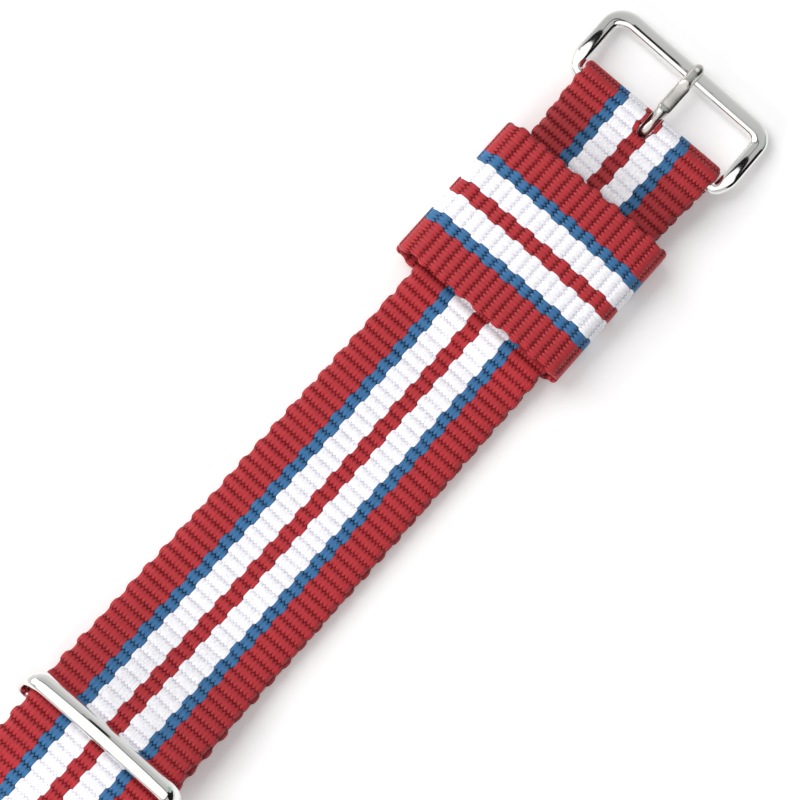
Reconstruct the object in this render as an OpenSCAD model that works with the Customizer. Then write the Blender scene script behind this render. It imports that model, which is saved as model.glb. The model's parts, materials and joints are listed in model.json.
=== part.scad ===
// Pull-through watch strap: ribbed webbing, a welded webbing keeper,
// a one-piece wire buckle with its prong, and a wire ring on the short under band.
// The hinge bar of the buckle lies along Y. The buckle end points to +X, the tail to -X.

/* [Webbing] */
// Width of the webbing
strap_w = 20; // [18:1:24]
// Thickness of one layer of webbing
band_t = 1.2; // [1.0:0.1:1.4]
// Length of the whole strap, from the prong's tip to the tail's tip
overall_l = 270; // [250:1:300]
// Height of the weld seams that join two layers
weld_h = 0.1; // [0.05:0.05:0.2]
// Width of one weld seam, along the strap
weld_w = 1.6; // [1:0.1:2]
// Gap between two layers that only lie on each other
layer_gap = 0.2; // [0.1:0.05:0.4]

/* [Tail] */
// Length of the rounded point
tail_point_l = 9; // [6:0.5:12]
// Diameter of the holes
hole_d = 2.1; // [1.8:0.1:2.4]
// Number of holes
hole_n = 9; // [5:1:11]
// Distance from one hole to the next
hole_pitch = 7; // [6:0.5:8]
// Distance from the tail's tip to the first hole
hole_first = 30; // [20:1:40]

/* [Keeper] */
// Distance from the hinge bar to the keeper
keeper_x = 10.6; // [9:0.2:14]
// Free room on each side of the strap, inside the keeper
keeper_side = 1.25; // [0.8:0.05:2]
// Height of the tunnel for the tail, at its middle
tunnel_h = 1.8; // [1.6:0.1:3]
// Rise of the keeper's top from its sides to its middle
keeper_crown = 0.5; // [0.2:0.1:0.7]
// Bend radius of the keeper's corners, at the middle of the webbing
keeper_r = 1.9; // [1.5:0.1:2.2]
// Slit between the keeper's two ends, under the strap
keeper_slit = 0.3; // [0.1:0.1:0.6]

/* [Buckle frame] */
// Distance from the hinge bar to the outer bar
bar_x = 9.7; // [8.5:0.1:12]
// Width of the wire, seen from above
wire_w = 2.1; // [1.8:0.1:2.4]
// Height of the wire
wire_h = 1.7; // [1.4:0.1:2]
// Diameter of the hinge bar
hinge_d = 1.5; // [1.3:0.1:1.7]
// Gap between the webbing's edge and each arm
arm_gap = 0.5; // [0.4:0.05:1]
// Gap between the hinge bar and the webbing that is folded round it
fold_gap = 0.45; // [0.4:0.05:0.7]
// Bend radius of the two outer corners, at the middle of the wire
outer_r = 2.1; // [1.5:0.1:2.6]
// Run of the two long corners beside the hinge bar, along the arm
inner_run = 3.4; // [3:0.1:4.8]
// Height of the outer bar above the table
bar_lift = 0.15; // [0.1:0.05:0.6]

/* [Prong] */
// Width of the prong
prong_w = 1.75; // [1.4:0.05:2]
// Thickness of the prong
prong_t = 0.9; // [0.7:0.05:1.1]
// Wall of the prong's eye
eye_t = 0.55; // [0.4:0.05:0.6]
// Running gap between the hinge bar and the eye
eye_gap = 0.05; // [0.03:0.01:0.08]
// Reach of the tip past the middle of the outer bar
tip_over = 1.1; // [0.8:0.1:1.5]
// Gap between the prong and the outer bar
tip_gap = 0.12; // [0.1:0.01:0.3]
// Gap on each side of the prong, in the slot of the webbing
slot_gap = 0.28; // [0.15:0.01:0.4]
// Reach of the slot behind the hinge bar
slot_back = 1.35; // [1.3:0.05:1.8]

/* [Ring] */
// Distance from the hinge bar to the ring's lower bar
ring_x = 98.8; // [90:0.2:110]
// Width of the ring's bar, along the strap
ring_bar_w = 2.6; // [2:0.1:3]
// Thickness of the ring's bar
ring_bar_t = 1.3; // [1.1:0.1:1.4]
// Free height inside the ring, over the main band
ring_room = 0.85; // [0.8:0.05:1.6]
// Gap between the webbing's edge and the ring's side
ring_side = 0.4; // [0.35:0.05:0.7]
// Bend radius of the ring's corners, at the middle of the bar
ring_r = 1.3; // [1.1:0.1:1.5]
// Lean of the ring towards the buckle
ring_lean = 14; // [0:1:16]
// Gap above and below the ring's lower bar, in the fold
ring_fold_gap = 0.35; // [0.3:0.05:0.5]
// Distance from the ring's lower bar to the cut end of the fold
ring_lap = 11.5; // [10:0.5:14]

/* [Hidden] */
eps = 0.01;
cut = 2;                                 // how far a cutter runs past what it cuts

// Heights of the layers, bottom to top
hinge_r = hinge_d / 2;
fold_r = hinge_r + fold_gap + band_t / 2; // middle of the webbing round the hinge bar
hinge_z = fold_r + band_t / 2;
low_z = 1.5 * band_t;                    // middle of the lower layer on the keeper's base
high_z = 2.5 * band_t + weld_h;          // middle of the upper layer in the keeper
run_z = 1.5 * band_t + layer_gap;        // middle of the main band over the under band
table_z = band_t / 2;                    // middle of a layer that lies on the table
ring_fold_r = ring_bar_t / 2 + ring_fold_gap + band_t / 2;
ring_z = table_z + ring_fold_r;
lap_z = low_z + weld_h;                  // middle of the folded end behind the ring
crest_z = ring_z + ring_fold_r + band_t + layer_gap;
ring_open_h = ring_fold_gap + 2 * band_t + layer_gap + ring_room;

// Places along the strap, measured from the hinge bar
tip_x = bar_x + max(tip_over, wire_w / 2);
hinge_x = overall_l / 2 - tip_x;         // the origin is the middle of the whole strap
tail_x = tip_x - overall_l;
keeper_in = -keeper_x;
keeper_out = -keeper_x - strap_w;        // the keeper is a length of the same webbing
bend_start = -1;                         // where the webbing starts to close behind the fold
settle = 0.6;                            // flat webbing just outside the keeper
drop_l = 6;                              // run of the step down from the keeper
fold_lap = 7.4;                          // length of the folded end inside the keeper
fold_end = keeper_in - fold_lap;         // cut end of the folded webbing
end_gap = 1.5;                           // between that cut end and the under band's
ring_back = 0.5;                         // the fold's bend lies this far behind the ring's bar
ring_front = ring_bar_w / 2 - 0.15;      // the fold starts to close this far before the bar
fold_fall = 5.5;                         // run of the fold's upper leg down to its lap
hump_run = 9.5;                          // how far before that lap the main band starts to rise
hump_front = ring_lap + hump_run;
hump_crest = 1.5;                        // level stretch of the main band over the ring's bar
hump_back = 22;                          // run of the main band down to the table
fold_corner_r = 1.4;                     // of the fold's two corners, seen from above

// Buckle frame
arm_y = strap_w / 2 + arm_gap + wire_w / 2;
hinge_end_over = 0.2;                    // the hinge bar is straight this far past the webbing
hinge_end_y = strap_w / 2 + hinge_end_over;
root_l = 0.3;                            // overlap of the wire with the straight bar
root_turn = 30;                          // the wire grows after this much of its first corner
bar_z = wire_h / 2 + bar_lift;
arch_in = 0.12;                          // slope of the arms at the hinge bar
arch_out = -0.35;                        // slope of the arms at the outer bar
seat = 0.03;                             // the wire grows by this where it meets the hinge bar
wire_sides = 16;

function ease(u) = (1 - cos(180 * u)) / 2;

// Points of a smooth step from one height to another, without its first point
function step_pts(x0, z0, x1, z1, n = 12) =
    [for (i = [1:n]) let (u = i / n) [x0 + (x1 - x0) * u, z0 + (z1 - z0) * ease(u)]];

// Points of an arc about c, without its first point
function arc_pts(c, r, a0, a1, n = 14) =
    [for (i = [1:n]) let (a = a0 + (a1 - a0) * i / n) c + r * [cos(a), sin(a)]];

function unit(v) = v / norm(v);
function heading(p, i) =
    let (n = len(p),
         a = i == 0 ? p[1] - p[0] : p[i] - p[i - 1],
         b = i == n - 1 ? a : p[i + 1] - p[i])
    unit(unit(a) + unit(b));
function across(p, i) = let (h = heading(p, i)) [-h[1], h[0]];

// Outline of a band of thickness t along the path p
function ribbon(p, t) =
    let (n = len(p))
    concat([for (i = [0:n - 1]) p[i] + across(p, i) * t / 2],
           [for (i = [n - 1:-1:0]) p[i] - across(p, i) * t / 2]);

// A side profile in X and Z, given the width w along Y
module across_strap(w) {
    translate([0, w / 2, 0])
        rotate([90, 0, 0])
            linear_extrude(height = w) children();
}

// A box by its corners, centred on Y
module block(x0, x1, w, z0, z1) {
    translate([x0, -w / 2, z0]) cube([x1 - x0, w, z1 - z0]);
}

// Weld seams across the strap, spread between x0 and x1
module weld_seams(x0, x1, n, z0, z1) {
    seam_l = strap_w - 2 * band_t;
    for (i = [0:n - 1]) {
        x = x0 + (x1 - x0 - weld_w) * i / (n - 1);
        block(x, x + weld_w, seam_l, z0, z1);
    }
}

// The main band: folded end, fold round the hinge bar, keeper, hump at the ring, tail
main_path = concat(
    [[fold_end, low_z], [keeper_in + settle, low_z]],
    step_pts(keeper_in + settle, low_z, bend_start, table_z),
    [[0, table_z]],
    arc_pts([0, hinge_z], fold_r, -90, 90),
    [[bend_start, hinge_z + fold_r]],
    step_pts(bend_start, hinge_z + fold_r, keeper_in + settle, high_z),
    [[keeper_out - settle, high_z]],
    step_pts(keeper_out - settle, high_z, keeper_out - settle - drop_l, run_z),
    [[-ring_x + hump_front, run_z]],
    step_pts(-ring_x + hump_front, run_z, -ring_x, crest_z, 16),
    [[-ring_x - hump_crest, crest_z]],
    step_pts(-ring_x - hump_crest, crest_z, -ring_x - hump_crest - hump_back, table_z, 16),
    [[tail_x, table_z]]);

// Seen from above: a rounded point at the tail, rounded corners at the fold
module main_outline() {
    front = fold_r + band_t / 2;
    half = strap_w / 2;
    side = concat(
        [for (i = [0:15]) let (a = 90 * i / 15)
            [tail_x + tail_point_l * (1 - cos(a)), half * sin(a)]],
        arc_pts([front - fold_corner_r, half - fold_corner_r], fold_corner_r, 90, 0, 8));
    n = len(side);
    polygon(concat(side, [for (i = [n - 1:-1:1]) [side[i][0], -side[i][1]]]));
}

module prong_slot() {
    slot_w = prong_w + 2 * slot_gap;
    block(-slot_back, fold_r + band_t, slot_w, -cut, hinge_z + fold_r + cut);
}

module tail_holes() {
    for (i = [0:hole_n - 1])
        translate([tail_x + hole_first + i * hole_pitch, 0, -cut])
            cylinder(d = hole_d, h = band_t + 2 * cut, $fn = 48);
}

module main_band() {
    color("firebrick")
        translate([hinge_x, 0, 0])
            difference() {
                union() {
                    intersection() {
                        across_strap(strap_w + cut) polygon(ribbon(main_path, band_t));
                        translate([0, 0, -cut])
                            linear_extrude(height = crest_z + band_t + 2 * cut) main_outline();
                    }
                    weld_seams(fold_end + eps, keeper_in - settle, 3,
                               low_z + band_t / 2 - eps, high_z - band_t / 2 + eps);
                    weld_seams(keeper_out + settle, fold_end - end_gap - settle, 4,
                               low_z + band_t / 2, high_z - band_t / 2 + eps);
                }
                prong_slot();
                tail_holes();
            }
}

// The under band: from the keeper to the ring, round the ring's lower bar and back
under_path = concat(
    [[fold_end - end_gap, low_z], [keeper_out - settle, low_z]],
    step_pts(keeper_out - settle, low_z, keeper_out - settle - drop_l, table_z),
    [[-ring_x - ring_back, table_z]],
    arc_pts([-ring_x - ring_back, ring_z], ring_fold_r, -90, -270),
    [[-ring_x + ring_front, ring_z + ring_fold_r]],
    step_pts(-ring_x + ring_front, ring_z + ring_fold_r,
             -ring_x + ring_front + fold_fall, lap_z),
    [[-ring_x + ring_lap, lap_z]]);

module under_band() {
    color("firebrick")
        translate([hinge_x, 0, 0]) {
            across_strap(strap_w) polygon(ribbon(under_path, band_t));
            weld_seams(-ring_x + ring_front + fold_fall, -ring_x + ring_lap - eps, 2,
                       band_t - eps, lap_z - band_t / 2 + eps);
        }
}

// The keeper: a flat base, round sides and a crowned top, at distance d from its middle line
keeper_half = strap_w / 2 + keeper_side + band_t / 2;
keeper_top = high_z + band_t + tunnel_h;
crown_half = keeper_half - keeper_r;
crown_r = (crown_half * crown_half + keeper_crown * keeper_crown) / (2 * keeper_crown);
crown_a = asin(crown_half / crown_r);

function keeper_side_pts(d) =
    let (r = keeper_r + d,
         low_c = [crown_half, table_z + keeper_r],
         high_c = [crown_half, keeper_top - keeper_crown] - keeper_r * [sin(crown_a), cos(crown_a)])
    concat([low_c + r * [0, -1]],
           arc_pts(low_c, r, -90, 0, 8),
           arc_pts([keeper_half - keeper_r, high_c[1]], r, 0, 90 - crown_a, 8),
           arc_pts([0, keeper_top - crown_r], crown_r + d, 90 - crown_a, 90, 8));

module keeper_profile(d) {
    side = keeper_side_pts(d);
    n = len(side);
    polygon(concat(side, [for (i = [n - 2:-1:0]) [-side[i][0], side[i][1]]]));
}

module keeper_loop() {
    color("indianred")
        translate([hinge_x + keeper_out, 0, 0])
            rotate([90, 0, 90])
                linear_extrude(height = strap_w)
                    difference() {
                        keeper_profile(band_t / 2);
                        keeper_profile(-band_t / 2);
                        translate([-keeper_slit / 2, -cut]) square([keeper_slit, band_t + cut]);
                    }
}

// The ring: a bar of domed section bent to a closed rectangle, upright here
module ring_section() {
    dome_r = 2 * ring_bar_w;
    intersection() {
        square([ring_bar_t, ring_bar_w], center = true);
        translate([ring_bar_t / 2 - dome_r, 0]) circle(r = dome_r, $fn = 128);
        union() {
            edge_y = (ring_bar_w - ring_bar_t) / 2;
            for (s = [-1, 1])
                translate([0, s * edge_y]) circle(d = ring_bar_t, $fn = 48);
            square([ring_bar_t, 2 * edge_y], center = true);
        }
    }
}

module ring_bar(l) {
    translate([0, 0, -l / 2]) linear_extrude(height = l) ring_section();
}

module ring_upright() {
    half_y = strap_w / 2 + ring_side + ring_bar_t / 2;
    rise = ring_open_h + ring_bar_t;
    side_y = half_y - ring_r;
    mid_z = rise / 2;
    long_l = 2 * side_y;
    short_l = rise - 2 * ring_r;
    for (s = [-1, 1]) {
        // upper and lower bar
        translate([0, 0, mid_z + s * mid_z])
            rotate([90, 0, 0]) rotate([0, 0, s * 90]) ring_bar(long_l);
        // the two sides
        translate([0, s * half_y, mid_z])
            rotate([0, 0, s * 90]) ring_bar(short_l);
        // the four corners
        for (t = [-1, 1])
            translate([0, s * side_y, mid_z + t * (mid_z - ring_r)])
                rotate([0, 90, 0])
                    rotate([0, 0, corner_turn(s, t)])
                        rotate_extrude(angle = 90, $fn = 64)
                            translate([ring_r, 0]) ring_section();
    }
}

// Start angle of a corner, for the side s (+1 at +Y) and the level t (+1 at the top)
function corner_turn(s, t) = s > 0 ? (t > 0 ? 90 : 0) : (t > 0 ? 180 : 270);

module ring_keeper() {
    color("silver")
        translate([hinge_x - ring_x, 0, ring_z])
            rotate([0, ring_lean, 0]) ring_upright();
}

// Height of the frame's wire at the distance x from the hinge bar
function frame_z(x) =
    let (u = max(0, min(1, x / bar_x)),
         uu = u * u,
         uuu = uu * u)
    (2 * uuu - 3 * uu + 1) * hinge_z + (uuu - 2 * uu + u) * bar_x * arch_in
    + (3 * uu - 2 * uuu) * bar_z + (uuu - uu) * bar_x * arch_out;

// One side of the frame from the hinge bar out: x, y and how far the wire has grown
frame_side = concat(
    [for (i = [0:14]) let (a = 90 * i / 14)
        [inner_run * (1 - cos(a)), hinge_end_y + (arm_y - hinge_end_y) * sin(a),
         ease(max(0, (a - root_turn) / (90 - root_turn)))]],
    [for (i = [1:3]) [inner_run + (bar_x - outer_r - inner_run) * i / 4, arm_y, 1]],
    [for (i = [0:9]) let (a = 10 * i)
        [bar_x - outer_r * (1 - sin(a)), arm_y - outer_r * (1 - cos(a)), 1]]);
frame_pts = concat(
    [[0, hinge_end_y - root_l, 0]], frame_side,
    [for (i = [len(frame_side) - 1:-1:0]) [frame_side[i][0], -frame_side[i][1], frame_side[i][2]]],
    [[0, root_l - hinge_end_y, 0]]);

// The wire's section is a rounded rectangle that shrinks to a round bar at the hinge
function squarish(v) = sign(v) * pow(abs(v), 0.84);
function wire_ring(i) =
    let (flat = [for (p = frame_pts) [p[0], p[1]]],
         out = across(flat, i),
         g = frame_pts[i][2],
         a = hinge_r + seat + (wire_w / 2 - hinge_r - seat) * g,
         b = hinge_r + seat + (wire_h / 2 - hinge_r - seat) * g,
         z = frame_z(frame_pts[i][0]))
    [for (k = [0:wire_sides - 1])
        let (c = cos(360 * k / wire_sides), s = sin(360 * k / wire_sides),
             cc = c * (1 - g) + squarish(c) * g,
             ss = s * (1 - g) + squarish(s) * g)
        [flat[i][0] + out[0] * a * cc, flat[i][1] + out[1] * a * cc, z + b * ss]];

// A closed skin over rings of equal length
module skin(rings) {
    n = len(rings);
    m = len(rings[0]);
    polyhedron(
        points = [for (r = rings) for (p = r) p],
        faces = concat(
            [[for (k = [0:m - 1]) k], [for (k = [m - 1:-1:0]) (n - 1) * m + k]],
            [for (i = [0:n - 2]) for (k = [0:m - 1])
                let (a = i * m + k, b = i * m + (k + 1) % m) [b, a, a + m]],
            [for (i = [0:n - 2]) for (k = [0:m - 1])
                let (a = i * m + k, b = i * m + (k + 1) % m) [b, a + m, b + m]]));
}

module buckle_frame() {
    color("gainsboro")
        translate([hinge_x, 0, 0]) {
            skin([for (i = [0:len(frame_pts) - 1]) wire_ring(i)]);
            translate([0, hinge_end_y, hinge_z])
                rotate([90, 0, 0]) cylinder(r = hinge_r, h = 2 * hinge_end_y, $fn = 64);
        }
}

// The prong: an eye round the hinge bar, a shank over the fold, a tip on the outer bar
eye_in = hinge_r + eye_gap;
eye_out = eye_in + eye_t;
shank_z = hinge_z + eye_out - prong_t / 2;
rest_z = bar_z + wire_h / 2 + tip_gap + prong_t / 2;
crest_past = 0.3;                        // from the fold to where the shank bends down
crest_x = fold_r + band_t / 2 + crest_past;
elbow_back = 2.5;                        // from there to the outer bar the shank lies flatter
elbow_x = bar_x - elbow_back;
shank_rise = 0.25;                       // of the shank over the fold
elbow_rise = 0.45;                       // of the elbow over the tip
elbow_z = rest_z + elbow_rise;
seat_run = 0.6;                          // level start of the shank on the eye
prong_path = concat(
    [[0, shank_z], [seat_run, shank_z]],
    step_pts(seat_run, shank_z, crest_x, shank_z + shank_rise, 6),
    step_pts(crest_x, shank_z + shank_rise, elbow_x, elbow_z, 8),
    step_pts(elbow_x, elbow_z, bar_x, rest_z, 5),
    [[bar_x + tip_over, rest_z]]);

module prong_outline() {
    block_l = bar_x + tip_over - prong_w / 2;
    translate([-eye_out - cut, -prong_w / 2]) square([block_l + eye_out + cut, prong_w]);
    translate([block_l, 0]) circle(d = prong_w, $fn = 64);
}

module buckle_tongue() {
    color("silver")
        translate([hinge_x, 0, 0])
            difference() {
                union() {
                    intersection() {
                        across_strap(prong_w + cut) polygon(ribbon(prong_path, prong_t));
                        linear_extrude(height = 2 * hinge_z + cut) prong_outline();
                    }
                    translate([0, prong_w / 2, hinge_z])
                        rotate([90, 0, 0]) cylinder(r = eye_out, h = prong_w, $fn = 96);
                }
                translate([0, prong_w / 2 + cut, hinge_z])
                    rotate([90, 0, 0]) cylinder(r = eye_in, h = prong_w + 2 * cut, $fn = 96);
            }
}

main_band();
under_band();
keeper_loop();
ring_keeper();
buckle_frame();
buckle_tongue();
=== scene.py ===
import bpy
import json
import math
import numpy as np
from mathutils import Matrix, Vector


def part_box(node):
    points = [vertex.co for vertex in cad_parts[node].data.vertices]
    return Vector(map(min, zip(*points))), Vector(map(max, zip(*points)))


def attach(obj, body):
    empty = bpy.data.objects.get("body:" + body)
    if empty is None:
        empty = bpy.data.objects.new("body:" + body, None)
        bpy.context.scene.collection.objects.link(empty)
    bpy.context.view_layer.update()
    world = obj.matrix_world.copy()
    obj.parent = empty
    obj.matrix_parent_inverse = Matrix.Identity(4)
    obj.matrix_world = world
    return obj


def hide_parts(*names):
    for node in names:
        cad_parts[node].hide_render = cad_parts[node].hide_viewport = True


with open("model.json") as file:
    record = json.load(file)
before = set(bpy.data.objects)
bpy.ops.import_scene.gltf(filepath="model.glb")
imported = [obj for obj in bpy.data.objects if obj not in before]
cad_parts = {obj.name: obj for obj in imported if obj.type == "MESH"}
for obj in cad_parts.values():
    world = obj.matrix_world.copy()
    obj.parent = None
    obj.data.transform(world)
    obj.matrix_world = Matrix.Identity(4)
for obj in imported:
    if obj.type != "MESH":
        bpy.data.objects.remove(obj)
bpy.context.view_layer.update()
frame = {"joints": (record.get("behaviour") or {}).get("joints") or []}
mm = 0.001
joints = {joint["name"]: joint for joint in frame["joints"]}
hingePlace = Vector(joints["buckle_swing"]["pos_m"]) / mm  # the buckle's hinge bar, in mm
ringPlace = Vector(joints["ring_swing"]["pos_m"]) / mm  # the ring's lower bar, in mm
print("frame loaded")

# Camera: a long lens above the strap, tipped towards the tail, the strap running up to the right
cameraSettings = {
    "aim": (-44.2, 0.4, 0.0),  # what the middle of the picture sees, from the hinge bar
    "tilt": 10.0,  # from straight down, towards the tail
    "turn": 48.3,  # of the strap in the picture
    "distance": 420.0,
    "lens": 158.7,
    "sensor": 36.0,
}


def addCamera(s):
    tilt = math.radians(s["tilt"])
    turn = math.radians(s["turn"])
    look = Vector((math.sin(tilt), 0, -math.cos(tilt)))
    alongStrap = Vector((math.cos(tilt), 0, math.sin(tilt)))
    acrossStrap = Vector((0, -1, 0))
    right = alongStrap * math.cos(turn) + acrossStrap * math.sin(turn)
    up = alongStrap * math.sin(turn) - acrossStrap * math.cos(turn)
    aim = Vector(s["aim"]) + Vector((hingePlace.x, hingePlace.y, 0))
    place = (aim - look * s["distance"]) * mm
    bpy.ops.object.camera_add(location=place)
    camera = bpy.context.object
    turned = Matrix((right, up, -look)).transposed().to_4x4()
    camera.matrix_world = Matrix.Translation(place) @ turned
    camera.data.lens = s["lens"]
    camera.data.sensor_width = s["sensor"]
    camera.data.clip_start = 0.01
    bpy.context.scene.camera = camera


addCamera(cameraSettings)
print("camera set")


def hexColour(text):  # an sRGB hex colour as linear light
    values = [int(text[k:k + 2], 16) / 255 for k in (1, 3, 5)]
    linear = [v / 12.92 if v <= 0.04045 else ((v + 0.055) / 1.055) ** 2.4 for v in values]
    return (*linear, 1.0)


def addNode(tree, kind, inputs=(), operation=None, **settings):
    node = tree.nodes.new(kind)
    if operation:
        node.operation = operation
    for key, value in settings.items():
        setattr(node, key, value)
    for key, value in inputs.items() if isinstance(inputs, dict) else enumerate(inputs):
        if isinstance(value, bpy.types.Node):
            value = value.outputs[0]
        if isinstance(value, bpy.types.NodeSocket):
            tree.links.new(value, node.inputs[key])
        else:
            node.inputs[key].default_value = value
    return node


def newMaterial(name):
    material = bpy.data.materials.new(name)
    material.use_nodes = True
    tree = material.node_tree
    tree.nodes.clear()
    return material, tree


# Stage: a pale floor and a white world, with a soft key from the upper left of the picture
stageSettings = {
    "floorSize": 3.0,
    "floorColour": "#fbfafa",
    "floorLift": -0.02,  # just under the lowest webbing, in mm
    "floorGlow": 0.15,  # lifts the floor to white where the camera or the metal sees it
    "worldLevel": 0.42,
    "keyPower": 5.5,
    "keySize": 0.7,
    "keyPlace": (-0.02, 0.58, 0.62),
    "rakePower": 4.0,  # a low lamp at the tail end, which picks out the weave
    "rakeSize": 0.35,
    "rakePlace": (-0.80, 0.15, 0.30),
}


def seenByEyeOrMetal(tree):  # 1 on a ray from the camera or off the metal
    rays = addNode(tree, "ShaderNodeLightPath")
    return addNode(tree, "ShaderNodeMath",
                   (rays.outputs["Is Camera Ray"], rays.outputs["Is Glossy Ray"]), "MAXIMUM")


def addStage(s):
    bpy.ops.mesh.primitive_plane_add(size=s["floorSize"], location=(0, 0, s["floorLift"] * mm))
    floor = bpy.context.object
    floor.name = "floor"
    material, tree = newMaterial("matt white paper floor")
    glow = addNode(tree, "ShaderNodeMath", (seenByEyeOrMetal(tree), s["floorGlow"]), "MULTIPLY")
    shader = addNode(tree, "ShaderNodeBsdfPrincipled", {
        "Base Color": hexColour(s["floorColour"]), "Roughness": 1.0, "Specular IOR Level": 0.0,
        "Emission Color": (1, 1, 1, 1), "Emission Strength": glow})
    addNode(tree, "ShaderNodeOutputMaterial", {"Surface": shader})
    floor.data.materials.append(material)
    world = bpy.data.worlds.new("white studio")
    bpy.context.scene.world = world
    world.use_nodes = True
    tree = world.node_tree
    tree.nodes.clear()
    level = addNode(tree, "ShaderNodeMapRange",
                    {"Value": seenByEyeOrMetal(tree), "To Min": s["worldLevel"], "To Max": 1.0})
    sky = addNode(tree, "ShaderNodeBackground", {"Color": (1, 1, 1, 1), "Strength": level})
    addNode(tree, "ShaderNodeOutputWorld", {"Surface": sky})
    for name in ("key", "rake"):
        place = s[name + "Place"]
        bpy.ops.object.light_add(type="AREA", location=place)
        lamp = bpy.context.object
        lamp.name = name
        lamp.data.energy = s[name + "Power"]
        lamp.data.size = s[name + "Size"]
        lamp.rotation_euler = (-Vector(place)).to_track_quat("-Z", "Y").to_euler()
        lamp.visible_glossy = name == "key"  # the rake would show as a spot in the metal


addStage(stageSettings)

# A dome that only the metal sees: a broad white lamp overhead with a black rim, pale grey walls
# with a dark post and a dark doorway that has one pale pane, and a bright band along the table
dome = {
    "radius": 1.6,
    "lampBack": -1.5,  # the lamp's edges, as tangents of the angle from straight up
    "lampFront": 0.68,
    "lampSide": 0.85,
    "lampLevel": 1.2,
    "rim": 0.10,
    "wall": (0.52, 0.80),  # grey next to the lamp's rim, and far down
    "wallFade": 2.2,  # how far from the lamp that is, as a tangent
    "dark": 0.012,
    "doorway": (0.50, -0.78, 0.36),  # the middle of the dark place, as a direction
    "doorwayReach": 0.900,  # cosine of how far it reaches
    "pane": (0.80, -0.42, 0.42),
    "paneReach": 0.978,
    "paneColour": "#a9bfb6",
    "post": (0.008, 0.055),  # sideways reach of the post, as tangents
    "postEnd": 1.15,  # and how low it reaches on the buckle's side
    "tableBand": 0.14,
    "tableLevel": 0.85,
}


def addDome(d):
    bpy.ops.mesh.primitive_uv_sphere_add(segments=48, ring_count=24, radius=d["radius"])
    room = bpy.context.object
    room.name = "reflected_room"
    for seen in ("visible_camera", "visible_diffuse", "visible_shadow", "visible_transmission"):
        setattr(room, seen, False)
    material, tree = newMaterial("lamp and walls of the studio")
    place = addNode(tree, "ShaderNodeTexCoord")
    way = addNode(tree, "ShaderNodeVectorMath", (place.outputs["Object"],), "NORMALIZE")
    axes = addNode(tree, "ShaderNodeSeparateXYZ", (way,))
    # below the horizon all counts as just above it
    up = addNode(tree, "ShaderNodeMath", (axes.outputs[2], 0.02), "MAXIMUM")
    outside, slopes = [], []
    for axis, low, high in ((0, d["lampBack"], d["lampFront"]), (1, -d["lampSide"], d["lampSide"])):
        slope = addNode(tree, "ShaderNodeMath", (axes.outputs[axis], up), "DIVIDE")
        slopes.append(slope)
        offset = addNode(tree, "ShaderNodeMath", (slope, (low + high) / 2), "SUBTRACT")
        away = addNode(tree, "ShaderNodeMath", (offset,), "ABSOLUTE")
        outside.append(addNode(tree, "ShaderNodeMath", (away, (high - low) / 2), "SUBTRACT"))
    past = addNode(tree, "ShaderNodeMath", outside, "MAXIMUM")
    inLamp = addNode(tree, "ShaderNodeMath", (past, 0.0), "LESS_THAN")
    lamp = addNode(tree, "ShaderNodeMath", (inLamp, d["lampLevel"]), "MULTIPLY")
    pastRim = addNode(tree, "ShaderNodeMath", (past, d["rim"]), "GREATER_THAN")
    inside = []
    for name in ("doorway", "pane"):
        middle = tuple(Vector(d[name]).normalized())
        toward = addNode(tree, "ShaderNodeVectorMath", (way, middle), "DOT_PRODUCT")
        inside.append(addNode(tree, "ShaderNodeMath", (toward.outputs["Value"], d[name + "Reach"]),
                              "GREATER_THAN"))
    postMiddle, postHalf = (d["post"][0] + d["post"][1]) / 2, (d["post"][1] - d["post"][0]) / 2
    beside = addNode(tree, "ShaderNodeMath", (slopes[1], postMiddle, postHalf), "COMPARE")
    below = addNode(tree, "ShaderNodeMath", (slopes[0], d["postEnd"]), "LESS_THAN")
    post = addNode(tree, "ShaderNodeMath", (beside, below), "MULTIPLY")
    hidden = addNode(tree, "ShaderNodeMath", (inside[0], post), "MAXIMUM")
    bare = addNode(tree, "ShaderNodeMath", (pastRim, hidden), "GREATER_THAN")
    shade = addNode(tree, "ShaderNodeMapRange", {
        "Value": past, "From Max": d["wallFade"], "To Min": d["wall"][0], "To Max": d["wall"][1]})
    wall = addNode(tree, "ShaderNodeMath", (bare, shade), "MULTIPLY")
    low = addNode(tree, "ShaderNodeMath", (axes.outputs[2], d["tableBand"]), "LESS_THAN")
    table = addNode(tree, "ShaderNodeMath", (low, d["tableLevel"], d["dark"]), "MULTIPLY_ADD")
    wall = addNode(tree, "ShaderNodeMath", (wall, table), "MAXIMUM")
    level = addNode(tree, "ShaderNodeMath", (lamp, wall), "MAXIMUM")
    paned = addNode(tree, "ShaderNodeMath", (pastRim, inside[1]), "MULTIPLY")
    light = addNode(tree, "ShaderNodeMix", {0: paned, 6: level, 7: hexColour(d["paneColour"])},
                    data_type="RGBA")
    glow = addNode(tree, "ShaderNodeEmission", {"Color": light.outputs[2]})
    addNode(tree, "ShaderNodeOutputMaterial", {"Surface": glow})
    room.data.materials.append(material)


addDome(dome)
print("stage and light set")


def meshPoints(mesh):  # one row for each vertex
    flat = np.zeros(len(mesh.vertices) * 3)
    mesh.vertices.foreach_get("co", flat)
    return flat.reshape(-1, 3)


def finishMesh(closeEnds):  # turns the active mesh's faces outwards
    bpy.ops.object.mode_set(mode="EDIT")
    bpy.ops.mesh.select_all(action="SELECT")
    if closeEnds:
        bpy.ops.mesh.remove_doubles(threshold=1e-6)
        bpy.ops.mesh.select_all(action="SELECT")
        bpy.ops.mesh.fill_holes(sides=0)
        bpy.ops.mesh.select_all(action="SELECT")
    bpy.ops.mesh.normals_make_consistent(inside=False)
    bpy.ops.object.mode_set(mode="OBJECT")


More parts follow.
